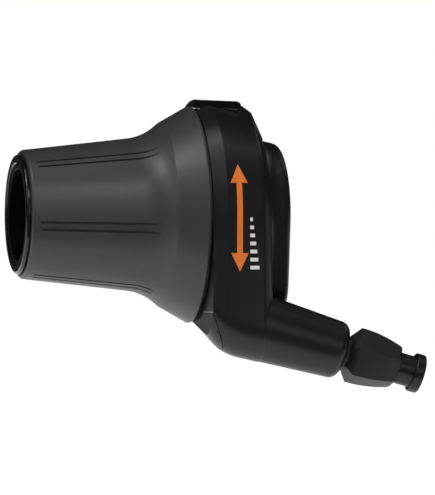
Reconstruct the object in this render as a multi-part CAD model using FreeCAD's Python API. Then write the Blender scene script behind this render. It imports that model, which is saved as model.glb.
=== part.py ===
import FreeCAD, Part
import math
import os

# Twist grip gear shifter for a right-hand handlebar end, millimetres.
# X runs along the handlebar towards its middle, Z is up, and -Y is the front of the bicycle.
# The origin lies on the handlebar axis in the middle of the clamp band.

V = FreeCAD.Vector
os.makedirs("parts", exist_ok=True)

# Handlebar and clearances
bar_d = 22.2
bar_gap = 0.215
clamp_gap = 0.05
run_gap = 0.08
seat_gap = 0.05
pass_gap = 0.4
over = 1.0

# Lengths along the handlebar
clamp_width = 5.6
face_recess = 1.8
collar_length = 5.5
band_length = 16.3
cavity_depth = 11.5
seam = 0.6
grip_length = 43.25
ring_length = 1.25
ring_width = 0.95

# Housing
rim_drop = 1.3
crease_drop = 2.35
housing_wall = 3.3
bevel_width = 3.45
crease_length = 13.2
crease_round = 0.6
shoulder_slope = 0.66
shoulder_length = 3.1
shoulder_depth = 4.0
lobe_r = 8.9
lobe_round = 14.0
lobe_bevel = 0.4
lobe_length = 8.1
lobe_hold = 1.6
collar_r = 19.0
collar_drop = 1.4
collar_round = 1.5
lug_lobe_r = 7.2
lug_lobe_reach = 18.6
lug_angle = 244.8

# Grip
grip_r = 16.1
grip_taper = 0.11
neck_length = 31.35
flank_length = 4.3
flank_slope = 0.85
flare_rise = 1.18
rubber_t = 2.2
flare_wall = 2.0
neck_round = 14.0
lip_round = 0.9
ring_r = 15.0
groove_pairs = 6
groove_first = 10.3
groove_split = 6.3
groove_width = 0.6
groove_depth = 0.55
groove_start = 2.2
groove_length = 28.1

# Bar sleeve, cable drum and detent
bar_sleeve_t = 1.285
sleeve_flange = 0.8
hub_t = 2.92
dog_inset = 1.3
dog_length = 2.5
dog_angle = 30.0
boss_r = 1.9
boss_inset = 2.0
boss_first = 101.0
boss_third = 325.0
screw_r = 0.9
screw_head_r = 1.6
screw_head_t = 0.9
screw_length = 6.0
plate_inset = 0.8
plate_t = 1.0
drum_gap = 0.2
drum_step = 0.5
drum_flange_t = 1.4
drum_lip = 0.4
cable_depth = 2.1
cable_width = 2.2
nipple_r = 2.2
nipple_angle = 60.0
nipple_depth = 1.5
wheel_drop = 0.9
wheel_rise = 1.0
wheel_reach = 2.5
wheel_t = 2.1
notch_r = 1.2
gears = 7
click = 13.0
stop_gap = 0.75
stop_angle = 10.0
leaf_t = 0.5
leaf_width = 1.8
leaf_drop = 2.7
leaf_tail = 11.4
leaf_tip = 5.2
nose_half = 2.6
nose_depth = 1.6
pin_r = 1.25
pin_reach = 8.6

# Window
window_mid = 51.0
window_half = 47.0
slot_half = 43.5
lens_rise = 1.2
lens_t = 1.85
lens_start = -0.15
lens_length = 11.9
lens_round = 0.9
scale_start = 1.5
scale_t = 0.6
scale_length = 4.8
scale_edge = 2.0
pointer_half = 1.4
pointer_t = 0.9
pointer_length = 7.6
tip_length = 2.9
foot_half = 3.0
foot_t = 1.4

# Outlet tube and cable adjuster, lengths along the tube axis from the elbow corner
elbow_length = 5.9
elbow_rise = 1.6
tube_tilt = 16.0
tube_taper = 0.059
tube_start = 5.0
tube_end = 30.1
tube_round = 2.4
corner_bend = 12.0
corner_sink = 0.12
guide_r = 2.5
guide_bore = 1.1
guide_bend = 7.0
guide_top = 9.4
guide_end = 6.0
nut_start = 14.0
nut_end = 20.0
nut_rim = 2.0
nut_r = 4.6
thread_r = 3.0
spigot_start = 27.0
knob_start = 30.9
knob_foot = 2.0
knob_end = 44.3
knob_bevel = 0.4
knob_bow = 0.5
knob_r = 7.25
knob_end_r = 5.45
knob_turn = 165.0
neck_r = 3.95
neck_start = 37.0
neck_flat = 3.2
bolt_start = 10.0
bolt_flange_r = 4.9
bolt_flange_t = 2.5
bolt_end = 50.9
casing_r = 2.55
casing_depth = 8.0
spring_wire_r = 0.4
spring_r = 3.75
spring_turns = 4

# Cap on the outer corner of the elbow
cap_width = 3.8
cap_rise = 1.8
cap_drop = 7.7
cap_gap = 0.15
peg_r = 1.2
peg_length = 4.6
peg_spread = 5.2

# Clamp band, bolt and nut
clamp_t = 1.4
split_width = 2.4
lug_t = 1.6
lug_r = 20.4
bolt_circle_r = 16.6
bolt_r = 2.0
bolt_head_r = 3.5
bolt_head_t = 4.0
socket_r = 1.73
socket_depth = 2.2
nut_half = 3.0
nut_t = 2.8

# Stations along the handlebar that follow from the lengths
x_face = clamp_width / 2 + face_recess
x_shoulder = x_face - collar_length
x_open = x_shoulder - band_length
x_wall = x_open + cavity_depth
x_rim = x_open - seam
x_grip = x_rim - grip_length
x_ring = x_grip - ring_length
x_flange = x_rim - seam / 2
x_plate = x_open + plate_inset
x_dog = x_open + dog_inset
x_drum = x_dog + drum_gap
x_cable = x_open + elbow_length
x_wheel = x_cable + wheel_reach
x_drum_end = x_wheel + wheel_t
x_scale = x_open + scale_start

# Radii that follow from the bar outwards
bore_r = bar_d / 2 + bar_gap
sleeve_r = bore_r + bar_sleeve_t
turn_r = sleeve_r + run_gap
hub_r = turn_r + hub_t
clamp_r = bar_d / 2 + clamp_gap
wheel_r = hub_r + wheel_rise
cable_r = wheel_r + wheel_drop
drum_r = cable_r + cable_depth
flange_r = drum_r + drum_lip
boss_circle_r = flange_r + pass_gap + boss_r
cavity_r = boss_circle_r + boss_inset
ridge_r = cavity_r + housing_wall
rim_r = ridge_r - rim_drop
crease_r = ridge_r - crease_drop
lens_r = ridge_r + lens_rise
lens_in_r = lens_r - lens_t
scale_in_r = lens_in_r - seat_gap - scale_t
pointer_r = scale_in_r - pass_gap

# Angles and sides
window_a = window_mid - window_half
window_b = window_mid + window_half
half_travel = click * (gears - 1) / 2
lug_side = split_width / 2 + lug_t

# Outer line of the grip: lip, neck, foot of the flare cone, rim
neck_end_r = grip_r + grip_taper * neck_length
cone_start = neck_length + flank_length
cone_r = neck_end_r + flank_slope * flank_length
grip_rim_r = rim_r + flare_rise
cone_slope = (grip_rim_r - cone_r) / (grip_length - cone_start)
grip_line = [(x_grip, grip_r), (x_grip + neck_length, neck_end_r),
             (x_grip + cone_start, cone_r), (x_rim, grip_rim_r)]

# Elbow corner and the lower line of the outlet tube
tilt = math.radians(tube_tilt)
elbow = V(x_cable, -cable_r, elbow_rise - ridge_r)
tube_dir = V(math.cos(tilt), 0, -math.sin(tilt))
lower_slope = math.tan(tilt - math.atan(tube_taper))

# Parting plane of the elbow cap, seen from the front as a slanted line
cap_top = V(x_open, 0, elbow.z + cap_rise)
cap_low = V(x_open + cap_width, 0, elbow.z - cap_drop)
cap_line = (cap_low - cap_top).normalize()
cap_in = V(-cap_line.z, 0, cap_line.x)


def polar(radius, degrees):
    """(y, z) at an angle counted from the rear towards the top."""
    a = math.radians(degrees)
    return radius * math.cos(a), radius * math.sin(a)


def outline(corners, place):
    """Closed wire through corners (u, v) or (u, v, radius), each radius rounding its corner."""
    edges = []
    parts = []
    count = len(corners)
    for i in range(count):
        here = V(corners[i][0], corners[i][1], 0)
        back = V(corners[i - 1][0], corners[i - 1][1], 0) - here
        ahead = corners[(i + 1) % count]
        ahead = V(ahead[0], ahead[1], 0) - here
        radius = corners[i][2] if len(corners[i]) > 2 else 0
        if not radius:
            parts.append((here, None, here))
            continue
        back.normalize()
        ahead.normalize()
        half = back.getAngle(ahead) / 2
        middle = back + ahead
        middle.normalize()
        reach = radius / math.tan(half)
        depth = radius / math.sin(half) - radius
        parts.append((here + back * reach, here + middle * depth, here + ahead * reach))
    for i in range(count):
        start, middle, end = parts[i]
        if middle is not None:
            arc = Part.Arc(place(start.x, start.y), place(middle.x, middle.y), place(end.x, end.y))
            edges.append(arc.toShape())
        after = parts[(i + 1) % count][0]
        if end.distanceToPoint(after) > 1e-6:
            edges.append(Part.makeLine(place(end.x, end.y), place(after.x, after.y)))
    return Part.Wire(edges)


def ring(corners, start=0.0, sweep=360.0):
    """Solid turned about the X axis from an (x, radius) outline, from an angle through a sweep."""
    cy, cz = polar(1.0, start)
    face = Part.Face(outline(corners, lambda x, r: V(x, r * cy, r * cz)))
    return face.revolve(V(0, 0, 0), V(1, 0, 0), sweep)


def tube_ring(x_a, x_b, r_in, r_out, start=0.0, sweep=360.0):
    """Plain turned ring between two stations and two radii."""
    return ring([(x_a, r_in), (x_b, r_in), (x_b, r_out), (x_a, r_out)], start, sweep)


def rod(x_a, x_b, radius, y=0.0, z=0.0):
    """Round rod parallel to the X axis."""
    return Part.makeCylinder(radius, x_b - x_a, V(x_a, y, z), V(1, 0, 0))


def about_x(shape, degrees):
    """Copy turned about the handlebar axis."""
    other = shape.copy()
    other.rotate(V(0, 0, 0), V(1, 0, 0), degrees)
    return other


def to_tube(shape):
    """Copy of a shape built about the X axis, moved onto the outlet tube axis."""
    other = shape.copy()
    other.rotate(V(0, 0, 0), V(0, 1, 0), tube_tilt)
    other.translate(elbow)
    return other


def stations(x_a, x_b, count):
    """Evenly spaced stations from one end to the other."""
    return [x_a + (x_b - x_a) * i / (count - 1) for i in range(count)]


def hexagon(radius, turn, place):
    """Six-sided wire of a corner radius, its corners put in space by a function of (u, v)."""
    points = []
    for i in range(7):
        u, v = polar(radius, turn + 60 * i)
        points.append(place(u, v))
    return Part.makePolygon(points)


def offset_line(corners, depth):
    """Open (x, radius) line moved towards the axis by a depth across its slope."""
    lines = []
    for (xa, ra), (xb, rb) in zip(corners, corners[1:]):
        slope = (rb - ra) / (xb - xa)
        lines.append((slope, ra - slope * xa - depth * math.sqrt(1 + slope * slope)))
    moved = [(corners[0][0], lines[0][0] * corners[0][0] + lines[0][1])]
    for (m, b), (n, c) in zip(lines, lines[1:]):
        x = (c - b) / (m - n)
        moved.append((x, m * x + b))
    moved.append((corners[-1][0], lines[-1][0] * corners[-1][0] + lines[-1][1]))
    return moved


def rubber_grip():
    """Rubber cover with pairs of fine grooves that run out at the flare."""
    lip, neck, foot, rim = grip_line
    inner = offset_line(grip_line, rubber_t)
    body = ring([lip + (lip_round,), neck + (neck_round,), foot + (1.5,), rim + (0.5,),
                 inner[3], inner[2], inner[1] + (neck_round + rubber_t,), inner[0]])
    x_a = x_grip + groove_start
    x_b = x_a + groove_length
    r_a = grip_r + grip_taper * groove_start
    floor = r_a + grip_taper * groove_length - groove_depth
    ramp = 1.5 * groove_depth
    fin = [(x_a, r_a + 6 * over), (x_a, r_a), (x_a + ramp, r_a + grip_taper * ramp - groove_depth, 1.5),
           (x_b, floor, 11.0), (x_b + 5 * over, floor + 4.4 * over)]
    face = Part.Face(outline(fin, lambda x, r: V(x, r, 0)))
    face.translate(V(0, 0, -groove_width / 2))
    fin = face.extrude(V(0, 0, groove_width))
    cutters = []
    for i in range(groove_pairs):
        for side in (-0.5, 0.5):
            cutters.append(about_x(fin, groove_first + i * 360 / groove_pairs + side * groove_split))
    return body.cut(cutters)


def twist_sleeve():
    """Moulded core of the grip: end ring, tapered body, flare shell and three drive dogs."""
    core = offset_line(grip_line, rubber_t + seat_gap)
    shell = offset_line(grip_line, rubber_t + seat_gap + flare_wall)
    flange_out = core[2][1] + cone_slope * (x_flange - core[2][0])
    flange_in = shell[2][1] + cone_slope * (x_flange - shell[2][0])
    x_hub = shell[2][0] - (shell[2][1] - hub_r) / flank_slope
    x_lip = x_ring + ring_width
    body = ring([(x_ring, turn_r + 0.3), (x_ring, ring_r, 0.7), (x_lip, ring_r, 0.25), (x_lip, core[0][1]),
                 core[1] + (neck_round + rubber_t,), core[2], (x_flange, flange_out),
                 (x_flange, flange_in), shell[2], (x_hub, hub_r, 1.0), (x_dog, hub_r), (x_dog, turn_r),
                 (x_ring + 0.3, turn_r)])
    relief = tube_ring(x_grip + 9 * over, x_rim - 12 * over, turn_r - 0.3, turn_r + 0.5)
    dog = tube_ring(x_dog - over, x_dog + dog_length, turn_r + 0.6, hub_r, -dog_angle / 2, dog_angle)
    dogs = [about_x(dog, 120 * i) for i in range(3)]
    return body.cut(relief).fuse(dogs).removeSplitter()


def bar_sleeve():
    """Plain tube on the handlebar with a flange held between housing wall and clamp band."""
    x_end = x_ring + 0.4
    x_stop = -clamp_width / 2 - 0.2
    x_back = x_stop - sleeve_flange
    return ring([(x_end, bore_r + 0.3), (x_end, sleeve_r - 0.3), (x_end + 0.3, sleeve_r), (x_back, sleeve_r),
                 (x_back, sleeve_r + sleeve_flange), (x_stop, sleeve_r + sleeve_flange), (x_stop, bore_r),
                 (x_end + 0.3, bore_r)])


def drum_stops():
    """Angles of the first stop boss, the middle of the drum's lug and the second stop boss."""
    boss_half = math.degrees(math.asin(boss_r / boss_circle_r))
    free = 2 * half_travel + stop_angle + 2 * stop_gap + 2 * boss_half
    return boss_first, boss_first + free / 2, boss_first + free


def cable_drum():
    """Cable drum with a flange, groove, nipple pocket, stop lug and notched detent wheel."""
    x_a = x_drum + drum_step
    x_b = x_a + drum_flange_t
    half = cable_width / 2
    floor = cable_r - 0.6
    body = ring([(x_drum, turn_r), (x_drum, hub_r + 0.8), (x_a, hub_r + 0.8), (x_a, flange_r),
                 (x_b, flange_r), (x_b, drum_r), (x_cable - half, drum_r), (x_cable - 0.7 * half, floor, 0.7),
                 (x_cable + 0.7 * half, floor, 0.7), (x_cable + half, drum_r), (x_wheel, drum_r),
                 (x_wheel, wheel_r), (x_drum_end, wheel_r), (x_drum_end, turn_r)])
    lug_mid = drum_stops()[1]
    lug = tube_ring(x_a, x_b, drum_r - over, boss_circle_r + 0.4, lug_mid - stop_angle / 2, stop_angle)
    cuts = []
    for i in range(3):
        slot = tube_ring(x_drum - over, x_dog + dog_length + 0.3, turn_r - over, hub_r + 0.1,
                         -dog_angle / 2 - 0.4, dog_angle + 0.8)
        cuts.append(about_x(slot, 120 * i))
    for i in range(gears):
        y, z = polar(wheel_r + 0.3, 270 + (i - (gears - 1) / 2) * click)
        cuts.append(rod(x_wheel, x_drum_end + over, notch_r, y, z))
    y, z = polar(cable_r - 0.5, nipple_angle)
    cuts.append(rod(x_cable - nipple_depth, x_drum_end + over, nipple_r, y, z))
    return body.fuse(lug).cut(cuts).removeSplitter()


def gear_pointer():
    """Pointer that rides on the drum flange and shows under the lens."""
    x_a = x_drum + drum_step
    x_b = x_a + drum_flange_t
    x_end = x_a + pointer_length
    start = window_mid - pointer_half
    foot = tube_ring(x_a, x_b, flange_r + seat_gap, flange_r + foot_t, window_mid - foot_half, 2 * foot_half)
    post = tube_ring(x_a, x_b, flange_r + foot_t / 2, pointer_r, start, 2 * pointer_half)
    bar = tube_ring(x_a, x_end, pointer_r - pointer_t, pointer_r, start, 2 * pointer_half)
    tip = tube_ring(x_end - tip_length, x_end, pointer_r - pointer_t / 2, lens_in_r - seat_gap - pass_gap,
                    start, 2 * pointer_half)
    return foot.fuse([post, bar, tip]).removeSplitter()


def gear_scale():
    """Curved plate under the lens that carries the gear digits."""
    return tube_ring(x_scale, x_scale + scale_length, scale_in_r, lens_in_r - seat_gap,
                     window_a + scale_edge, 2 * (window_half - scale_edge))


def window_lens():
    """Clear raised lens."""
    x_a = x_open + lens_start
    x_b = x_a + lens_length
    return ring([(x_a, lens_in_r), (x_a, lens_r + 0.15, lens_round), (x_b, lens_r - 0.3, lens_round),
                 (x_b, lens_in_r)], window_a, 2 * window_half)


def window_cuts():
    """Seat of the lens, pocket of the scale and slot of the pointer."""
    x_a = x_open + lens_start
    x_end = x_drum + drum_step + pointer_length
    a = window_a - math.degrees(seat_gap / lens_r)
    seat = tube_ring(x_a - over, x_a + lens_length + seat_gap, lens_in_r, lens_r + 5 * over, a, 2 * (window_mid - a))
    edge = 0.8 * scale_edge
    pocket = tube_ring(x_scale - 2 * seat_gap, x_end + over, scale_in_r - 2 * seat_gap, lens_in_r + over / 2,
                       window_a + edge, 2 * (window_half - edge))
    slot = tube_ring(x_drum + drum_step - 2 * seat_gap, x_end + over, cavity_r - 2 * over, lens_in_r + over / 2,
                     window_mid - slot_half, 2 * slot_half)
    return [seat, pocket, slot]


def lower_z(x):
    """Lowest line of the elbow lobe: an outer bend that runs into the tube's lower line."""
    x_t = x_open + lobe_length
    x_0 = elbow.x - lobe_r * math.sin(tilt)
    if x >= x_t:
        return elbow.z - lobe_r * math.cos(tilt) - lower_slope * (x - x_0) - 2 * seat_gap
    turn = math.atan(lower_slope)
    mid_x = x_t + lobe_round * math.sin(turn)
    mid_z = lower_z(x_t) + lobe_round * math.cos(turn)
    return mid_z - math.sqrt(lobe_round ** 2 - (x - mid_x) ** 2)


def lobed_wire(x, big, small, cy, cz):
    """Wire around a circle on the axis and a smaller circle beside it, joined by tangent lines."""
    mid = math.degrees(math.atan2(cz, cy))
    swing = math.degrees(math.acos((big - small) / math.hypot(cy, cz)))

    def on_big(degrees):
        y, z = polar(big, degrees)
        return V(x, y, z)

    def on_small(degrees):
        y, z = polar(small, degrees)
        return V(x, cy + y, cz + z)

    low, high = mid - swing, mid + swing
    edges = [Part.Arc(on_small(low), on_small(mid), on_small(high)).toShape(),
             Part.makeLine(on_small(high), on_big(high)),
             Part.Arc(on_big(high), on_big(mid + 180), on_big(low)).toShape(),
             Part.makeLine(on_big(low), on_small(low))]
    return Part.Wire(edges)


def band_section(x):
    """Section of the housing band with its elbow lobe at one station: bevel, tapered band or shoulder."""
    t = x - x_open
    inset = 0.0
    if t <= bevel_width:
        big = rim_r + (ridge_r - rim_r) * t / bevel_width
        inset = lobe_bevel * (ridge_r - big)
    else:
        big = ridge_r - crease_drop * (t - bevel_width) / (crease_length - bevel_width)
        past = max(0.0, t - crease_length + crease_round / 2)
        bend = min(past, crease_round)
        dome = min(1.0, max(0.0, t - crease_length) / shoulder_length)
        inset = shoulder_slope * (bend ** 2 / (2 * crease_round) + past - bend)
        inset += shoulder_depth * (1 - math.sqrt(1 - dome ** 2))
        big -= inset
    small = lobe_r - tube_taper * max(0.0, x - elbow.x - lobe_hold) / math.cos(tilt)
    return lobed_wire(x, big, small - inset, elbow.y, lower_z(x) + small)


def outer_band():
    """Bevelled edge, slightly tapered band and rounded shoulder, all with the elbow lobe."""
    x_ridge = x_open + bevel_width
    x_crease = x_open + crease_length
    x_bend = x_crease - crease_round / 2
    bevel = Part.makeLoft([band_section(x) for x in stations(x_open, x_ridge, 4)], True)
    band = Part.makeLoft([band_section(x) for x in stations(x_ridge, x_bend, 6)], True)
    ends = stations(x_bend, x_crease + crease_round / 2, 3)
    ends += [x_crease + shoulder_length * math.sin(math.radians(a)) for a in (17, 32, 46, 58, 68)]
    shoulder = Part.makeLoft([band_section(x) for x in ends], True)
    return [bevel, band, shoulder]


def collar_section(x, inset):
    """Section of the collar: a ring with a lobe for the clamp lugs."""
    taper = collar_drop * (x - x_shoulder) / collar_length
    cy, cz = polar(lug_lobe_reach, lug_angle)
    return lobed_wire(x, collar_r - taper - inset, lug_lobe_r - inset, cy, cz)


def outer_collar():
    """Collar around the clamp band, flared into the shoulder and rounded at its end."""
    x_round = x_face - collar_round
    flare = [(-2.2, -2.6), (-0.7, -0.9), (0.3, -0.25), (1.2, 0)]
    wires = [collar_section(x_shoulder + x, inset) for x, inset in flare]
    wires.append(collar_section(x_round, 0))
    for a in (30, 55, 75, 88):
        s = math.radians(a)
        wires.append(collar_section(x_round + collar_round * math.sin(s), collar_round * (1 - math.cos(s))))
    return Part.makeLoft(wires, True)


def outer_tube():
    """Tapered outlet tube with a rounded end."""
    r_a = lobe_r - tube_taper * tube_start
    r_b = lobe_r - tube_taper * tube_end
    return to_tube(ring([(tube_start, 0), (tube_start, r_a), (tube_end, r_b, tube_round), (tube_end, 0)]))


def elbow_pipe(radius, bend, rise, end):
    """Round bar down to the elbow, round a bend and along the tube, from a height above the corner."""
    turn = math.pi / 2 - tilt
    reach = bend * math.tan(turn / 2)
    start = elbow + V(0, 0, rise)
    top = elbow + V(0, 0, reach)
    middle = top + V(bend * (1 - math.cos(turn / 2)), 0, -bend * math.sin(turn / 2))
    low = elbow + tube_dir * reach
    path = Part.Wire([Part.makeLine(start, top), Part.Arc(top, middle, low).toShape(),
                      Part.makeLine(low, elbow + tube_dir * end)])
    circle = Part.Wire(Part.makeCircle(radius, start, V(0, 0, 1)))
    return path.makePipeShell([circle], True, False)


def inside_corner():
    """Hollow curve between the shoulder and the top of the outlet tube."""
    reach = corner_bend * math.tan((math.pi / 2 - tilt) / 2)
    radius = lobe_r - tube_taper * (reach + over) - corner_sink
    bend = elbow_pipe(radius, corner_bend, reach + over, reach + over)
    size = 4 * lobe_r
    return bend.common(Part.makeBox(size, size, size, elbow - V(0, size / 2, size / 2)))


def window_hump():
    """Raised end of the window seat that slopes down to the collar."""
    x_a = x_open + lens_start + lens_length - 0.6
    x_b = x_open + crease_length + 1.25
    x_c = x_shoulder + 1.3
    foot_r = collar_r - 1.5
    return ring([(x_a, foot_r), (x_a, ridge_r), (x_a + 0.9, ridge_r - 0.1, 0.8), (x_b, crease_r + 0.5, 1.5),
                 (x_c, collar_r + 0.2), (x_c, foot_r)], window_a, 2 * window_half)


def lug_box(r_a, r_b, t_a, t_b, x_a, x_b):
    """Block along the clamp lugs: radial, tangential and axial limits."""
    box = Part.makeBox(x_b - x_a, r_b - r_a, t_b - t_a, V(x_a, r_a, t_a))
    return about_x(box, lug_angle)


def lug_rod(radius, t_a, t_b):
    """Round rod across the clamp lugs, on the bolt axis."""
    return about_x(Part.makeCylinder(radius, t_b - t_a, V(0, bolt_circle_r, t_a), V(0, 0, 1)), lug_angle)


def clamp_band():
    """Split steel band with two lugs."""
    half = clamp_width / 2
    body = tube_ring(-half, half, clamp_r, clamp_r + clamp_t)
    for side in (split_width / 2, -lug_side):
        body = body.fuse(lug_box(clamp_r + 0.6, lug_r, side, side + lug_t, -half, half))
    split = lug_box(clamp_r - 3 * over, lug_r + over, -split_width / 2, split_width / 2, -2 * half, 2 * half)
    hole = lug_rod(bolt_r + 0.2, -lug_side - over, lug_side + over)
    return body.cut([split, hole]).removeSplitter()


def clamp_bolt():
    """Socket-head bolt across the clamp lugs."""
    seat = lug_side + seat_gap
    shank = lug_rod(bolt_r, -lug_side - nut_t - 0.3, seat + over)
    body = shank.fuse(lug_rod(bolt_head_r, seat, seat + bolt_head_t))
    floor = seat + bolt_head_t - socket_depth
    wire = hexagon(socket_r, 0, lambda u, v: V(u, bolt_circle_r + v, floor))
    socket = about_x(Part.Face(wire).extrude(V(0, 0, socket_depth + over)), lug_angle)
    return body.cut(socket).removeSplitter()


def clamp_nut():
    """Square nut held in the collar."""
    back = -lug_side - seat_gap
    body = lug_box(bolt_circle_r - nut_half, bolt_circle_r + nut_half, back - nut_t, back, -nut_half, nut_half)
    return body.cut(lug_rod(bolt_r + seat_gap, back - nut_t - over, back + over))


def clamp_cuts():
    """Room for the lugs and the nut, open at the inboard face, and the bolt's way in from below."""
    side = lug_side + 0.25
    nut_side = nut_half + 2 * seat_gap
    lugs = lug_box(clamp_r - 2 * over, lug_r + 0.4, -side, side, -clamp_width / 2 - 0.25, x_face + over)
    nut = lug_box(bolt_circle_r - nut_side, bolt_circle_r + nut_side, -lug_side - nut_t - 0.5, 0,
                  -nut_side, x_face + over)
    return [lugs, nut, lug_rod(bolt_head_r + 0.2, 0, ridge_r)]


def cable_guide():
    """Bent tube that leads the cable through the elbow."""
    return elbow_pipe(guide_r, guide_bend, guide_top, guide_end).cut(
        elbow_pipe(guide_bore, guide_bend, guide_top, guide_end))


def cap_side(gap):
    """Block that covers the cap side of the parting plane."""
    a = cap_top - cap_line * 1.5 * over - cap_in * gap
    b = cap_low + cap_line * 8 * over - cap_in * gap
    back = cap_in * 12 * over
    corners = [a, b, b - back, a - back, a]
    wire = Part.makePolygon([V(p.x, elbow.y - 3 * lobe_r, p.z) for p in corners])
    return Part.Face(wire).extrude(V(0, 6 * lobe_r, 0))


def cap_pegs(radius, length):
    """Two pegs of the cap, one each side of the cable guide."""
    pegs = []
    for side in (-1, 1):
        foot = (cap_top + cap_low) * 0.5 - cap_in * 0.6 * over
        start = V(foot.x, elbow.y + side * peg_spread, foot.z)
        pegs.append(Part.makeCylinder(radius, length, start, cap_in))
    return pegs


def bosses():
    """Centres of the screw bosses of the retaining plate, two of which stop the drum."""
    first, lug_mid, second = drum_stops()
    return [polar(boss_circle_r, angle) for angle in (first, second, boss_third)]


def leaf_top():
    """Height of the upper side of the detent leaf."""
    return -wheel_r - leaf_drop


def pin_places():
    """Centres of the two pins that hold the tail of the detent leaf."""
    return [(pin_reach, leaf_top() + pin_r), (pin_reach, leaf_top() - leaf_t - pin_r)]


def housing_hollows():
    """Everything that is hollow in the housing."""
    flange_back = -clamp_width / 2 - sleeve_flange - 0.25
    cuts = [rod(x_open - 3 * over, x_wall, cavity_r),
            rod(x_wall - over, x_face + over, sleeve_r + seat_gap),
            rod(flange_back, x_face + over, sleeve_r + sleeve_flange + seat_gap)]
    cuts += window_cuts()
    cuts += clamp_cuts()
    cuts.append(elbow_pipe(guide_r + seat_gap, guide_bend, guide_top + 4 * over, guide_end))
    cuts.append(to_tube(rod(guide_end, nut_start + over, thread_r + 0.15)))
    cuts.append(to_tube(rod(nut_start, tube_end + 5 * over, nut_r + seat_gap)))
    return cuts


def housing_and_cap():
    """Housing and elbow cap, split along the parting plane."""
    forms = outer_band() + [outer_collar(), outer_tube(), inside_corner(), window_hump()]
    body = forms[0].fuse(forms[1:]).cut(housing_hollows())
    posts = [rod(x_plate + plate_t + seat_gap, x_wall + over / 2, boss_r, y, z) for y, z in bosses()]
    body = body.fuse(posts)
    holes = [rod(x_plate, x_plate + screw_length + over, screw_r - seat_gap, y, z) for y, z in bosses()]
    holes += [rod(x_wall - over / 2, x_wall + 1.5 * over, pin_r + seat_gap, y, z) for y, z in pin_places()]
    body = body.cut(holes)
    cap = body.common(cap_side(cap_gap)).fuse(cap_pegs(peg_r, peg_length))
    body = body.cut(cap_side(0)).cut(cap_pegs(peg_r + seat_gap, peg_length + pass_gap))
    return body, cap


def retaining_plate():
    """Ring plate that keeps the drum in the housing."""
    body = tube_ring(x_plate, x_plate + plate_t, hub_r + 1.2, cavity_r - 2 * seat_gap)
    holes = [rod(x_plate - over, x_plate + 2 * over, screw_r + 0.15, y, z) for y, z in bosses()]
    return body.cut(holes)


def plate_screws():
    """Three pan-head screws with cross recesses."""
    solids = []
    wide = 1.2 * screw_head_r
    thin = 0.28 * screw_head_r
    for y, z in bosses():
        head = rod(x_plate - screw_head_t, x_plate - 0.02, screw_head_r, y, z)
        screw = head.fuse(rod(x_plate - 0.1, x_plate + screw_length, screw_r - 2 * seat_gap, y, z))
        for w, h in ((thin, wide), (wide, thin)):
            start = V(x_plate - screw_head_t - over / 2, y - w / 2, z - h / 2)
            screw = screw.cut(Part.makeBox(over / 2 + screw_head_t / 2, w, h, start))
        solids.append(screw.removeSplitter())
    return Part.makeCompound(solids)


def detent_spring():
    """Leaf spring with a rounded nose that rests in a notch of the drum."""
    apex = wheel_r - nose_depth
    top = leaf_top()
    low = top - leaf_t
    slant = math.atan2(nose_half, -top - apex)
    under = -apex - leaf_t / math.sin(slant)
    under_half = (under - low) * math.tan(slant)
    corners = [(leaf_tail, low), (leaf_tail, top), (nose_half, top, 1.0), (0, -apex, 0.9), (-nose_half, top, 1.0),
               (-leaf_tip, top), (-leaf_tip, low), (-under_half, low, 1.5), (0, under, 0.4), (under_half, low, 1.5)]
    face = Part.Face(outline(corners, lambda y, z: V(x_wheel + 3 * seat_gap, y, z)))
    return face.extrude(V(leaf_width, 0, 0))


def detent_pins():
    """Two pins in the housing wall, one above and one below the tail of the leaf."""
    pins = [rod(x_wheel + 2 * seat_gap, x_wall + 1.4 * over, pin_r - seat_gap, y, z) for y, z in pin_places()]
    return Part.makeCompound(pins)


def thrust_washer():
    """Washer between the drum and the housing wall."""
    return tube_ring(x_drum_end + 2 * seat_gap, x_wall - seat_gap, turn_r, hub_r)


def adjuster_nut():
    """Threaded insert in the outlet tube, with a hexagon body and a round rim."""
    x_a = nut_start + nut_rim
    rim = rod(nut_start, x_a, nut_r)
    wire = hexagon(nut_r, 0, lambda u, v: V(x_a, u, v))
    body = rim.fuse(Part.Face(wire).extrude(V(nut_end - x_a, 0, 0)))
    return to_tube(body.cut(rod(nut_start - over, nut_end + over, thread_r + run_gap)).removeSplitter())


def adjuster_bolt():
    """Hollow adjuster screw: threaded shank, neck with one flat, end flange and casing socket."""
    flange_at = bolt_end - bolt_flange_t
    body = ring([(bolt_start, 0.5), (bolt_start, thread_r - 0.5), (bolt_start + 0.5, thread_r), (neck_start, thread_r),
                 (neck_start, neck_r, 0.3), (flange_at, neck_r), (flange_at, bolt_flange_r, 0.4),
                 (bolt_end, bolt_flange_r, 0.5), (bolt_end, 0.5)])
    flat = Part.makeBox(flange_at - neck_start + over, neck_r, 3 * neck_r,
                        V(neck_start - over, neck_flat, -1.5 * neck_r))
    cable = rod(bolt_start - over, bolt_end + over, guide_bore)
    socket = rod(bolt_end - casing_depth, bolt_end + over, casing_r)
    return to_tube(body.cut([flat, cable, socket]))


def knob_hexagon(s, radius):
    """Six-sided section of the knob at one station, given by the radius of its corners."""
    return hexagon(radius, knob_turn, lambda u, v: V(s, u, v))


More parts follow.
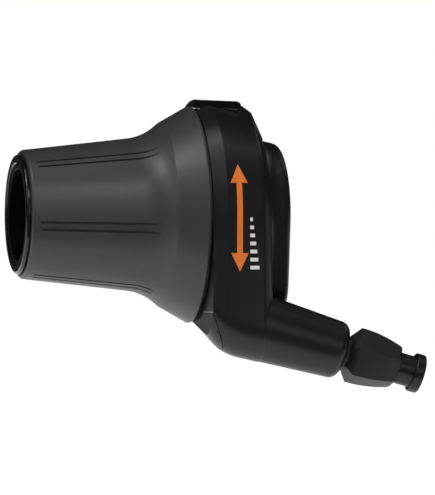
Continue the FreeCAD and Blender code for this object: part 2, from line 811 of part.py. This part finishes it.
def adjuster_knob():
    """Six-sided knob with slightly bowed sides, a spigot in the tube end and a bore with one flat."""
    foot = knob_start + knob_foot
    tip = knob_end - knob_bevel
    middle = knob_hexagon((foot + tip) / 2, (knob_r + knob_end_r) / 2 + knob_bow)
    barrel = Part.makeLoft([knob_hexagon(foot, knob_r), middle, knob_hexagon(tip, knob_end_r)], True)
    bevels = [Part.makeLoft([knob_hexagon(knob_start, nut_r), knob_hexagon(foot, knob_r)], True, True),
              Part.makeLoft([knob_hexagon(tip, knob_end_r), knob_hexagon(knob_end, knob_end_r - knob_bevel)],
                            True, True)]
    body = barrel.fuse(bevels + [rod(spigot_start, knob_start + over, nut_r - 0.35)])
    keep = Part.makeBox(3 * knob_end, neck_r, 3 * neck_r, V(foot, neck_flat + run_gap, -1.5 * neck_r))
    bore = rod(foot + 0.2, knob_end + over, neck_r + run_gap).cut(keep)
    shank = rod(spigot_start - over, knob_end, thread_r + run_gap)
    return to_tube(body.cut([bore, shank]))


def adjuster_spring():
    """Coil of eight-sided wire between the threaded insert and the knob spigot."""
    steps = 20
    start = nut_end + spring_wire_r + 3 * seat_gap
    length = spigot_start - nut_end - 2 * spring_wire_r - 6 * seat_gap
    count = spring_turns * steps
    wires = []
    for i in range(count + 1):
        points = []
        for k in range(9):
            across, along = polar(spring_wire_r, 45 * k)
            y, z = polar(spring_r + across, 360 * i / steps)
            points.append(V(start + length * i / count + along, y, z))
        wires.append(Part.makePolygon(points))
    return to_tube(Part.makeLoft(wires, True, True))


def save(name, shape):
    """Write one node as a STEP file."""
    shape.exportStep("parts/" + name + ".step")


housing, elbow_cover = housing_and_cap()
save("housing", housing)
save("elbow_cover", elbow_cover)
save("rubber_grip", rubber_grip())
save("twist_sleeve", twist_sleeve())
save("bar_sleeve", bar_sleeve())
save("cable_drum", cable_drum())
save("gear_pointer", gear_pointer())
save("gear_scale", gear_scale())
save("window_lens", window_lens())
save("retaining_plate", retaining_plate())
save("plate_screws", plate_screws())
save("detent_spring", detent_spring())
save("detent_pins", detent_pins())
save("thrust_washer", thrust_washer())
save("cable_guide", cable_guide())
save("adjuster_nut", adjuster_nut())
save("adjuster_spring", adjuster_spring())
save("adjuster_knob", adjuster_knob())
save("adjuster_bolt", adjuster_bolt())
save("clamp_band", clamp_band())
save("clamp_bolt", clamp_bolt())
save("clamp_nut", clamp_nut())
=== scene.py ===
"""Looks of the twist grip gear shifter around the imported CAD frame.

Finishes of all nodes, printed marks, small closures of the gaps, light and camera.
"""

import math

import bpy
import numpy as np
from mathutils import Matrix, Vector


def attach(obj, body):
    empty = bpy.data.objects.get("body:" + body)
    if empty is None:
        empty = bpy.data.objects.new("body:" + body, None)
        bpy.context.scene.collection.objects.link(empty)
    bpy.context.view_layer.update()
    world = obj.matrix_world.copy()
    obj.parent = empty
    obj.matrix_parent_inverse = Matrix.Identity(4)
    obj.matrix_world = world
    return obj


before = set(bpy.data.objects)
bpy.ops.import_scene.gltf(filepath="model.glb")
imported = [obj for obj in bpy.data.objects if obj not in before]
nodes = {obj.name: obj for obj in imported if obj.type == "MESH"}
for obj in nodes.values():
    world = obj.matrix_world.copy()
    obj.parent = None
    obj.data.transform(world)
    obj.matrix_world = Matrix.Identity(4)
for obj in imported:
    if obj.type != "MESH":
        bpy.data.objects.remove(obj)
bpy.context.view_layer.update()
MM = 0.001

# Sizes of the part that the added pieces follow, in millimetres and degrees
x_open = -17.2
sleeve_end = -18.1
ridge_r = 27.6
crease_drop = 2.35
bevel_width = 3.45
crease_length = 13.2
lobe_r = 8.9
lobe_y = -17.5
elbow_x = -11.3
elbow_z = -26.0
tube_tilt = math.radians(16.0)
lower_slope = 0.2239
lobe_drop = 0.15
window = {"x_a": -17.35, "x_b": -5.45, "angle": 51.0, "half": 47.0, "radius": 28.8, "border": 1.1}
scale_r = 26.9
lens_in_r = 26.95
scale_mid_x = -13.3
gears = 7
click_angle = 13.0
gear_angles = window["angle"] + click_angle * (np.arange(gears) - gears // 2)

# Photograph: picture size, scale, and the point of the object in its middle
picture = (435, 495)
px_per_mm = 4.0
view_turn = 12.0
view_middle = Vector((-12.77, -10.0, -8.25)) * MM
camera_distance = 2.5
floor_z = -0.074


# Node groups shared by the finishes

def new_group(name, inputs, outputs):
    """Empty shader group with float or vector inputs, given as (name, kind, default), and float outputs."""
    group = bpy.data.node_groups.new(name, "ShaderNodeTree")
    for label, kind, value in inputs:
        socket = group.interface.new_socket(label, in_out="INPUT", socket_type="NodeSocket" + kind)
        if value is not None:
            socket.default_value = value
    for label in outputs:
        group.interface.new_socket(label, in_out="OUTPUT", socket_type="NodeSocketFloat")
    return group, group.nodes.new("NodeGroupInput"), group.nodes.new("NodeGroupOutput")


def noise(tree, vector, scale, detail, rough=0.5):
    """Noise texture node on a vector; scale may be a number or a socket."""
    node = tree.nodes.new("ShaderNodeTexNoise")
    tree.links.new(vector, node.inputs["Vector"])
    if isinstance(scale, (int, float)):
        node.inputs["Scale"].default_value = scale
    else:
        tree.links.new(scale, node.inputs["Scale"])
    node.inputs["Detail"].default_value = detail
    node.inputs["Roughness"].default_value = rough
    return node.outputs["Fac"]


def math_node(tree, operation, a, b):
    """Math node of two numbers or sockets."""
    node = tree.nodes.new("ShaderNodeMath")
    node.operation = operation
    for socket, value in zip(node.inputs, (a, b)):
        if isinstance(value, (int, float)):
            socket.default_value = value
        else:
            tree.links.new(value, socket)
    return node.outputs[0]


def spread(tree, value, low, high):
    """Map Range node from the middle part of a noise, 0.3 to 0.7, to low and high, which may be sockets."""
    node = tree.nodes.new("ShaderNodeMapRange")
    tree.links.new(value, node.inputs["Value"])
    node.inputs["From Min"].default_value = 0.3
    node.inputs["From Max"].default_value = 0.7
    for label, limit in (("To Min", low), ("To Max", high)):
        if isinstance(limit, (int, float)):
            node.inputs[label].default_value = limit
        else:
            tree.links.new(limit, node.inputs[label])
    return node.outputs["Result"]


def moulded_grain_group():
    """Fine grain of a moulded surface: small cells and finer noise added up as a height from 0 to 1."""
    group, ins, outs = new_group(
        "moulded_grain", [("Vector", "Vector", None), ("Scale", "Float", 2000.0)], ["Height"])
    cells = group.nodes.new("ShaderNodeTexVoronoi")
    cells.feature = "SMOOTH_F1"
    group.links.new(ins.outputs["Vector"], cells.inputs["Vector"])
    group.links.new(ins.outputs["Scale"], cells.inputs["Scale"])
    fine = noise(group, ins.outputs["Vector"], math_node(group, "MULTIPLY", ins.outputs["Scale"], 1.7), 2.0)
    total = math_node(group, "ADD", math_node(group, "MULTIPLY", cells.outputs["Distance"], 0.6),
                      math_node(group, "MULTIPLY", fine, 0.4))
    group.links.new(total, outs.inputs["Height"])
    return group


def handled_group():
    """Slow change over a surface, as hands and dust leave it: a value between Low and High by a broad noise."""
    group, ins, outs = new_group(
        "handled", [("Vector", "Vector", None), ("Scale", "Float", 60.0), ("Low", "Float", 0.4),
                    ("High", "Float", 0.5)], ["Value"])
    broad = noise(group, ins.outputs["Vector"], ins.outputs["Scale"], 4.0, 0.6)
    group.links.new(spread(group, broad, ins.outputs["Low"], ins.outputs["High"]), outs.inputs["Value"])
    return group


def lens_border_painted_shade_group():
    """Black border of the lens, partly print and partly painted shade that darkens its end faces: 1 within a
    border width of its ends and sides, along x and the arc.
    """
    group, ins, outs = new_group("lens_border_painted_shade", [("Vector", "Vector", None)], ["Mask"])
    split = group.nodes.new("ShaderNodeSeparateXYZ")
    group.links.new(ins.outputs["Vector"], split.inputs[0])
    angle = math_node(group, "ARCTAN2", split.outputs["Z"], split.outputs["Y"])
    arc = math_node(group, "ABSOLUTE", math_node(group, "SUBTRACT", angle, math.radians(window["angle"])), 0.0)
    arc = math_node(group, "SUBTRACT", arc, math.radians(window["half"]))
    arc = math_node(group, "MULTIPLY", arc, window["radius"] * MM)
    side = math_node(group, "SUBTRACT", split.outputs["X"], (window["x_a"] + window["x_b"]) / 2 * MM)
    side = math_node(group, "ABSOLUTE", side, 0.0)
    side = math_node(group, "SUBTRACT", side, (window["x_b"] - window["x_a"]) / 2 * MM)
    edge = math_node(group, "ADD", math_node(group, "MAXIMUM", arc, side), window["border"] * MM)
    group.links.new(math_node(group, "GREATER_THAN", edge, 0.0), outs.inputs["Mask"])
    return group


moulded_grain = moulded_grain_group()
handled = handled_group()
lens_border_painted_shade = lens_border_painted_shade_group()


# Finishes

def place_group(tree, group, vector, **values):
    """Group node on a vector with its own values."""
    node = tree.nodes.new("ShaderNodeGroup")
    node.node_tree = group
    tree.links.new(vector, node.inputs["Vector"])
    for label, value in values.items():
        node.inputs[label].default_value = value
    return node.outputs[0]


def finish(name, colour, roughness, grain=0.0, depth=0.0, vary=0.08, slow=60.0, **sockets):
    """Material whose colour and roughness change slowly over the surface, with a fine grain as bump.

    colour is linear red, green, blue; roughness is (low, high); grain is the number of cells in a metre and
    depth their height in metres; vary is the share by which the colour changes; other words set sockets.
    """
    material = bpy.data.materials.new(name)
    material.use_nodes = True
    tree = material.node_tree
    shader = tree.nodes["Principled BSDF"]
    place = tree.nodes.new("ShaderNodeTexCoord").outputs["Object"]
    tree.links.new(place_group(tree, handled, place, Scale=slow, Low=roughness[0], High=roughness[1]),
                   shader.inputs["Roughness"])
    shade = place_group(tree, handled, place, Scale=slow * 2.3, Low=1 - vary, High=1 + vary)
    tint = tree.nodes.new("ShaderNodeVectorMath")
    tint.operation = "SCALE"
    tint.inputs[0].default_value = colour
    tree.links.new(shade, tint.inputs["Scale"])
    tree.links.new(tint.outputs["Vector"], shader.inputs["Base Color"])
    if depth:
        bump = tree.nodes.new("ShaderNodeBump")
        bump.inputs["Distance"].default_value = depth
        tree.links.new(place_group(tree, moulded_grain, place, Scale=grain), bump.inputs["Height"])
        tree.links.new(bump.outputs["Normal"], shader.inputs["Normal"])
    for label, value in sockets.items():
        shader.inputs[label.replace("_", " ")].default_value = value
    return material


def clear_finish(name):
    """Clear polycarbonate with a black border, partly printed and partly painted shade that darkens the lens
    ends.
    """
    material = bpy.data.materials.new(name)
    material.use_nodes = True
    tree = material.node_tree
    shader = tree.nodes["Principled BSDF"]
    place = tree.nodes.new("ShaderNodeTexCoord").outputs["Object"]
    tree.links.new(place_group(tree, handled, place, Scale=120.0, Low=0.02, High=0.05),
                   shader.inputs["Roughness"])
    tint = tree.nodes.new("ShaderNodeMix")
    tint.data_type = "RGBA"
    mask, colour_a, colour_b, result = tint.inputs[0], tint.inputs[6], tint.inputs[7], tint.outputs[2]
    colour_a.default_value = (0.86, 0.88, 0.90, 1)
    # Colour b is the black of the border: print, and painted shade on the lens end faces
    colour_b.default_value = (0.00001, 0.00001, 0.00001, 1)
    tree.links.new(place_group(tree, lens_border_painted_shade, place), mask)
    tree.links.new(result, shader.inputs["Base Color"])
    shader.inputs["Transmission Weight"].default_value = 1.0
    shader.inputs["IOR"].default_value = 1.58
    shader.inputs["Specular IOR Level"].default_value = 0.2
    return material


rubber = finish("grip_rubber", (0.0420, 0.0403, 0.0398), (0.36, 0.44), 3200.0, 0.00002, 0.06, 70.0)
housing_black = finish("housing_nylon", (0.0100, 0.0100, 0.0103), (0.30, 0.36), 4200.0, 0.000008, 0.10, 45.0,
                       Specular_IOR_Level=0.40)
gloss_black = finish("ring_gloss_black", (0.006, 0.006, 0.006), (0.14, 0.20), 5000.0, 0.000004, 0.10, 80.0)
knob_black = finish("knob_nylon", (0.0125, 0.0125, 0.0125), (0.40, 0.46), 4600.0, 0.000006, 0.10, 90.0,
                    Specular_IOR_Level=0.34)
black_aluminium = finish("black_aluminium", (0.0080, 0.0080, 0.0085), (0.26, 0.34), 9000.0, 0.000004, 0.08,
                         150.0, Specular_IOR_Level=0.40)
# Painted shade: the bar sleeve's black acetal is made darker and less glossy than its own finish, so the bore
# reads as shaded
sleeve_black_painted_shade = finish("sleeve_acetal_painted_shade", (0.0015, 0.0015, 0.0015), (0.45, 0.55), 4000.0, 0.000006, 0.08, 60.0,
                      Specular_IOR_Level=0.06)
acetal = finish("white_acetal", (0.62, 0.61, 0.57), (0.38, 0.46), 3000.0, 0.000006, 0.04, 60.0)
scale_black = finish("scale_matt_black", (0.010, 0.010, 0.011), (0.50, 0.58), 6000.0, 0.000004, 0.08, 120.0)
pointer_orange = finish("pointer_orange", (0.80, 0.16, 0.012), (0.34, 0.42), 5000.0, 0.000004, 0.04, 150.0)
steel = finish("zinc_plated_steel", (0.56, 0.56, 0.55), (0.26, 0.38), 7000.0, 0.000004, 0.06, 160.0,
               Metallic=1.0)
spring_steel = finish("spring_steel", (0.48, 0.47, 0.45), (0.22, 0.32), 9000.0, 0.000003, 0.06, 200.0,
                      Metallic=1.0)
brass = finish("brass", (0.66, 0.46, 0.17), (0.24, 0.34), 7000.0, 0.000003, 0.06, 200.0, Metallic=1.0)
orange_ink = finish("orange_print", (0.84, 0.19, 0.015), (0.42, 0.50), 8000.0, 0.000004, 0.05, 300.0)
white_ink = finish("white_print", (0.80, 0.80, 0.78), (0.42, 0.50), 8000.0, 0.000004, 0.04, 300.0)
clear = clear_finish("clear_polycarbonate")

node_finish = {
    "housing": housing_black, "elbow_cover": housing_black, "rubber_grip": rubber, "twist_sleeve": gloss_black,
    "bar_sleeve": sleeve_black_painted_shade, "cable_drum": acetal, "gear_pointer": pointer_orange, "gear_scale": scale_black,
    "window_lens": clear, "retaining_plate": steel, "plate_screws": steel, "detent_spring": spring_steel,
    "detent_pins": steel, "thrust_washer": acetal, "cable_guide": acetal, "adjuster_nut": brass,
    "adjuster_spring": spring_steel, "adjuster_knob": knob_black, "adjuster_bolt": black_aluminium,
    "clamp_band": steel, "clamp_bolt": steel, "clamp_nut": steel,
}
for name, material in node_finish.items():
    nodes[name].data.materials.clear()
    nodes[name].data.materials.append(material)


# Printed marks and small closures

def add_piece(name, points, faces, material, body):
    """Mesh piece from points in millimetres and faces, in the row frame, riding on a body."""
    mesh = bpy.data.meshes.new(name)
    mesh.from_pydata((np.asarray(points) * MM).tolist(), [], np.asarray(faces).tolist())
    mesh.polygons.foreach_set("use_smooth", np.ones(len(mesh.polygons), bool))
    mesh.materials.append(material)
    mesh.update()
    piece = bpy.data.objects.new(name, mesh)
    bpy.context.scene.collection.objects.link(piece)
    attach(piece, body)
    return piece


def add_pieces_as_one(name, parts, material, body):
    """One piece from several (points, faces), put one after the other."""
    points = np.concatenate([p for p, _ in parts])
    starts = np.cumsum([0] + [len(p) for p, _ in parts[:-1]])
    faces = np.concatenate([f + start for (_, f), start in zip(parts, starts)])
    return add_piece(name, points, faces, material, body)


def grid_faces(rows, columns):
    """Quads of a grid of points that is stored row by row."""
    corner = np.arange(rows - 1)[:, None] * columns + np.arange(columns - 1)[None, :]
    return np.stack([corner, corner + 1, corner + columns + 1, corner + columns], -1).reshape(-1, 4)


def around_bar(x, radius, turn):
    """Points at station x, radius and angle about the bar, measured from +Y towards +Z."""
    return np.stack(np.broadcast_arrays(x, radius * np.cos(turn), radius * np.sin(turn)), -1)


def band_radius(x):
    """Radius of the housing band, which falls evenly along x from the ridge of its bevel to the crease."""
    return ridge_r - crease_drop * (x - x_open - bevel_width) / (crease_length - bevel_width)


def on_band(x, z, lift):
    """Points on the front of the housing band at stations x and heights z, lifted off it.

    The section is a circle of a radius that falls along x, joined to the elbow lobe by a tangent line: above
    the tangent point y is minus the root of radius squared less z squared, below it the line gives y.
    """
    big = band_radius(x)
    lobe_z = elbow_z + lobe_r * (1 - math.cos(tube_tilt))
    lobe_z = lobe_z - lower_slope * (x - elbow_x + lobe_r * math.sin(tube_tilt)) - lobe_drop
    middle = np.arctan2(lobe_z, lobe_y)
    turn = middle - np.arccos((big - lobe_r) / np.hypot(lobe_y, lobe_z))
    radius = big + lift
    line = (radius - z * np.sin(turn)) / np.cos(turn)
    round_part = -np.sqrt(np.maximum(radius ** 2 - z ** 2, 0))
    y = np.where(z > radius * np.sin(turn), round_part, line)
    return np.stack([x, y, z], -1)


def band_print(middle_x, heights, halves):
    """Points and faces of a printed strip on the band: its middle at a station, half widths at each height."""
    ink = 0.05
    across = np.linspace(-1, 1, 9)
    x = middle_x + halves[:, None] * across[None, :]
    z = np.broadcast_to(heights[:, None], x.shape)
    return on_band(x, z, ink).reshape(-1, 3), grid_faces(len(heights), len(across))[:, ::-1]


def twist_arrow():
    """Double arrow along the band: a narrow shaft between two heads whose half width falls to the tip."""
    middle_x, top, low, head = -10.6, 12.4, -14.2, 4.6
    tip, wide, shaft = 0.02, 2.3, 0.75
    head_rows, shaft_rows = 12, 40
    heights = np.concatenate([np.linspace(top, top - head, head_rows),
                              np.linspace(top - head, low + head, shaft_rows),
                              np.linspace(low + head, low, head_rows)])
    halves = np.concatenate([np.linspace(tip, wide, head_rows), np.full(shaft_rows, shaft),
                             np.linspace(wide, tip, head_rows)])
    points, faces = band_print(middle_x, heights, halves)
    return add_piece("twist_arrow", points, faces, orange_ink, "housing")


def gear_ticks():
    """Seven bars beside the arrow, one for each gear, each longer than the one above it."""
    left_x, first_top, pitch, thick = -7.9, -0.8, 2.0, 0.9
    first_half, growth, rows = 0.35, 0.14, 4
    bars = []
    for i in range(gears):
        top = first_top - pitch * i
        half = first_half + growth * i
        bars.append(band_print(left_x + half, np.linspace(top, top - thick, rows), np.full(rows, half)))
    return add_pieces_as_one("gear_ticks", bars, white_ink, "housing")


def digit_outline(text):
    """Flat points in units of the letter height and triangles of one digit, cut up finely."""
    curve = bpy.data.curves.new("digit", "FONT")
    curve.body = text
    curve.align_x = "CENTER"
    curve.align_y = "CENTER"
    curve.resolution_u = 6
    letter = bpy.data.objects.new("digit", curve)
    mesh = bpy.data.meshes.new_from_object(letter)
    points = np.zeros(len(mesh.vertices) * 3)
    mesh.vertices.foreach_get("co", points)
    mesh.calc_loop_triangles()
    triangles = np.zeros(len(mesh.loop_triangles) * 3, int)
    mesh.loop_triangles.foreach_get("vertices", triangles)
    bpy.data.objects.remove(letter)
    bpy.data.meshes.remove(mesh)
    bpy.data.curves.remove(curve)
    points, triangles = points.reshape(-1, 3)[:, :2], triangles.reshape(-1, 3)
    rounds = 3
    for _ in range(rounds):
        a, b, c = (points[triangles[:, k]] for k in range(3))
        first = len(points) + 3 * np.arange(len(triangles))
        points = np.concatenate([points, np.stack([(a + b) / 2, (b + c) / 2, (c + a) / 2], 1).reshape(-1, 2)])
        ab, bc, ca = first, first + 1, first + 2
        i, j, k = triangles.T
        triangles = np.concatenate([np.stack(t, 1) for t in
                                    ((i, ab, ca), (ab, j, bc), (ca, bc, k), (ab, bc, ca))])
    points, index = np.unique(points.round(5), axis=0, return_inverse=True)
    return points, index.reshape(-1)[triangles]


def gear_digits():
    """Digits 1 to 7 wrapped on the scale: right is -X and up is along the rising angle about the bar."""
    height, ink = 3.4, 0.02
    digits = []
    for i, angle in enumerate(gear_angles):
        flat, triangles = digit_outline(str(gears - i))
        turn = np.radians(angle) + flat[:, 1] * height / scale_r
        digits.append((around_bar(scale_mid_x - flat[:, 0] * height, scale_r + ink, turn), triangles))
    return add_pieces_as_one("gear_digits", digits, white_ink, "housing")


def window_seal():
    """Ribs that close the wedge between the band's taper and both ends of the lens.

    Each is a loop of four corners carried along x: its lower side follows the falling radius of the band, its
    upper side stays under the lens, and its width is a small angle about the bar.
    """
    columns, corners = 12, 4
    x = np.linspace(-11.0, -6.05, columns)
    sunk, under_lens, outer, inner = 0.05, 0.01, 0.1, 2.0
    low = band_radius(x) - sunk
    top = np.full(columns, lens_in_r - under_lens)
    radius = np.stack([low, low, top, top], -1)
    around = grid_faces(columns, corners + 1)
    around = around // (corners + 1) * corners + around % (corners + 1) % corners
    caps = np.array([[3, 2, 1, 0], np.arange(corners) + corners * (columns - 1)])
    loop = np.concatenate([around, caps])
    ribs = []
    for side in (-1, 1):
        angles = window["angle"] + side * (window["half"] - np.array([inner, outer, outer, inner]))
        points = around_bar(x[:, None], radius, np.radians(angles)).reshape(-1, 3)
        ribs.append((points, loop if side < 0 else loop[:, ::-1]))
    return add_pieces_as_one("window_seal", ribs, scale_black, "housing")


def turned_ring(name, profile, material, body):
    """Ring about the bar: a closed loop of x and radius, listed clockwise, turned through a full circle."""
    x, radius = np.array(profile).T
    rows, columns = 180, len(x)
    turn = np.linspace(0, 2 * math.pi, rows + 1)[:-1, None]
    faces = grid_faces(rows + 1, columns + 1)[:, ::-1]
    faces = faces // (columns + 1) % rows * columns + faces % (columns + 1) % columns
    return add_piece(name, around_bar(x, radius, turn).reshape(-1, 3), faces, material, body)


def seam_rings():
    """Two low rings inside the seam between grip and housing, which close it to the eye.

    The profile of each is a rectangle of x and radius with two cut corners at its free end. The lip stands on
    the housing's end and stops short of the grip. The skirt stands on the end of the twist sleeve, runs inside
    the lip, and stops short of the screw heads.
    """
    edge, sunk = 0.1, 0.05
    lip_reach, lip_in, lip_out = 0.52, 24.75, 26.0
    lip_end, root = x_open - lip_reach, x_open + sunk
    turned_ring("seam_lip", [(root, lip_in), (lip_end + edge, lip_in), (lip_end, lip_in + edge),
                             (lip_end, lip_out - edge), (lip_end + edge, lip_out), (root, lip_out)],
                housing_black, "housing")
    skirt_reach, skirt_in, skirt_out = 0.65, 22.9, 24.5
    skirt_end, root = sleeve_end + skirt_reach, sleeve_end - sunk
    turned_ring("seam_skirt", [(skirt_end - edge, skirt_in), (root, skirt_in), (root, skirt_out),
                               (skirt_end - edge, skirt_out), (skirt_end, skirt_out - edge),
                               (skirt_end, skirt_in + edge)],
                housing_black, "grip")


twist_arrow()
gear_ticks()
gear_digits()
window_seal()
seam_rings()


# Floor, light and camera

def studio_floor():
    """Pale floor that keeps a soft shadow: white to the camera and through the lens, light grey to gloss."""
    half_size, lines = 4.0, 9
    glow, gloss_share = 0.75, 0.65
    u = np.linspace(-half_size, half_size, lines)
    x, y = np.meshgrid(u, u, indexing="ij")
    mesh = bpy.data.meshes.new("floor")
    points = np.stack([x, y, np.full_like(x, floor_z)], -1).reshape(-1, 3)
    mesh.from_pydata(points.tolist(), [], grid_faces(lines, lines)[:, ::-1].tolist())
    floor = bpy.data.objects.new("floor", mesh)
    bpy.context.scene.collection.objects.link(floor)
    material = bpy.data.materials.new("pale_floor")
    material.use_nodes = True
    tree = material.node_tree
    shader = tree.nodes["Principled BSDF"]
    shader.inputs["Base Color"].default_value = (0.8, 0.8, 0.8, 1)
    shader.inputs["Roughness"].default_value = 0.9
    shader.inputs["Specular IOR Level"].default_value = 0.0
    shader.inputs["Emission Color"].default_value = (1, 1, 1, 1)
    path = tree.nodes.new("ShaderNodeLightPath")
    seen = math_node(tree, "MAXIMUM", path.outputs["Is Camera Ray"], path.outputs["Is Transmission Ray"])
    gloss = math_node(tree, "MULTIPLY", path.outputs["Is Glossy Ray"], gloss_share)
    seen = math_node(tree, "MAXIMUM", seen, gloss)
    tree.links.new(math_node(tree, "MULTIPLY", seen, glow), shader.inputs["Emission Strength"])
    mesh.materials.append(material)


def studio_world(ambient):
    """World that is white to the camera, to gloss and through the lens, with an ambient level for the rest."""
    world = bpy.data.worlds.new("studio")
    bpy.context.scene.world = world
    world.use_nodes = True
    tree = world.node_tree
    path = tree.nodes.new("ShaderNodeLightPath")
    seen = math_node(tree, "MAXIMUM", path.outputs["Is Glossy Ray"], path.outputs["Is Transmission Ray"])
    seen = math_node(tree, "MAXIMUM", path.outputs["Is Camera Ray"], seen)
    level = tree.nodes.new("ShaderNodeMapRange")
    tree.links.new(seen, level.inputs["Value"])
    level.inputs["To Min"].default_value = ambient
    level.inputs["To Max"].default_value = 1.0
    background = tree.nodes["Background"]
    background.inputs["Color"].default_value = (1, 1, 1, 1)
    tree.links.new(level.outputs["Result"], background.inputs["Strength"])


def dark_flags():
    """Dark cards around the object, which only reflections see.

    Each card is a rectangle between two opposite corners. They stand at the front, at the sides and over the
    object, lie on the floor in front of it, and leave a gap behind it on the white background.
    """
    side, front, rear, top = 1.3, -2.2, 1.2, 1.5
    low, near = floor_z + 0.001, -0.075
    gap_a, gap_b, gap_top = 0.05, 0.45, 0.15
    cards = [((-side, front, low), (side, front, top)), ((-side, front, top), (side, rear, top)),
             ((-side, front, low), (-side, rear, top)), ((side, front, low), (side, rear, top)),
             ((-side, rear, low), (gap_a, rear, top)), ((gap_b, rear, low), (side, rear, top)),
             ((gap_a, rear, gap_top), (gap_b, rear, top)), ((-side, front, low), (side, near, low))]
    a, b = np.array(cards).swapaxes(0, 1)
    flat = np.argmin(np.abs(b - a), 1)
    first = np.array([1, 2, 0])[flat]
    rows = np.arange(len(cards))
    corners = np.stack([a, a, b, b], 1)
    corners[rows, 1, first] = b[rows, first]
    corners[rows, 3, first] = a[rows, first]
    mesh = bpy.data.meshes.new("dark_flags")
    faces = np.arange(4 * len(cards)).reshape(-1, 4)
    mesh.from_pydata(corners.reshape(-1, 3).tolist(), [], faces.tolist())
    material = bpy.data.materials.new("flag_cloth")
    material.use_nodes = True
    shader = material.node_tree.nodes["Principled BSDF"]
    shader.inputs["Base Color"].default_value = (0.01, 0.01, 0.01, 1)
    mesh.materials.append(material)
    flags = bpy.data.objects.new("dark_flags", mesh)
    flags.visible_camera = flags.visible_diffuse = flags.visible_shadow = flags.visible_transmission = False
    bpy.context.scene.collection.objects.link(flags)


def softbox(name, direction, distance, width, height, radiance):
    """Rectangular lamp in a direction from the object, aimed at it; its power gives the stated radiance."""
    lamp = bpy.data.lights.new(name, "AREA")
    lamp.shape = "RECTANGLE"
    lamp.size, lamp.size_y = width, height
    lamp.energy = radiance * math.pi * width * height
    piece = bpy.data.objects.new(name, lamp)
    towards = Vector(direction).normalized()
    piece.location = view_middle + towards * distance
    piece.rotation_mode = "QUATERNION"
    piece.rotation_quaternion = towards.to_track_quat("Z", "Y")
    bpy.context.scene.collection.objects.link(piece)


def photo_camera():
    """Long lens at the photograph's angle, framed so that a millimetre has its size in pixels."""
    data = bpy.data.cameras.new("photo_camera")
    data.sensor_width = 36.0
    data.lens = data.sensor_width * camera_distance / (picture[1] / px_per_mm * MM)
    data.clip_end = 100.0
    camera = bpy.data.objects.new("photo_camera", data)
    turn = math.radians(view_turn)
    back = Vector((-math.sin(turn), -math.cos(turn), 0))
    camera.location = view_middle + back * camera_distance
    camera.rotation_mode = "QUATERNION"
    camera.rotation_quaternion = back.to_track_quat("Z", "Y")
    bpy.context.scene.collection.objects.link(camera)
    bpy.context.scene.camera = camera


studio_floor()
studio_world(ambient=0.35)
dark_flags()
# Name: direction from the object, distance, width, height, radiance
softboxes = {
    "overhead_left": ((-0.58, -0.18, 0.79), 0.8, 0.2, 0.2, 11.0),
    "overhead": ((-0.31, -0.01, 0.95), 0.8, 0.2, 0.2, 3.7),
    "overhead_right": ((0.31, -0.13, 0.94), 0.8, 0.16, 0.3, 2.6),
    "left_high": ((-0.85, -0.3, 0.45), 0.7, 0.25, 0.25, 1.7),
    "left_strip": ((-0.93, -0.36, 0.05), 0.7, 0.15, 0.6, 0.4),
    "front_high": ((-0.1, -0.75, 0.65), 1.1, 0.5, 0.3, 4.2),
    "front_right_high": ((0.33, -0.48, 0.81), 0.9, 0.16, 0.16, 2.4),
    "front_wide": ((0.1, -1.0, 0.25), 1.2, 1.2, 0.5, 0.8),
    "rear_right": ((0.69, 0.4, 0.58), 0.8, 0.25, 0.25, 0.8),
}
for name, values in softboxes.items():
    softbox(name, *values)
photo_camera()
bpy.context.scene.view_settings.view_transform = "Standard"
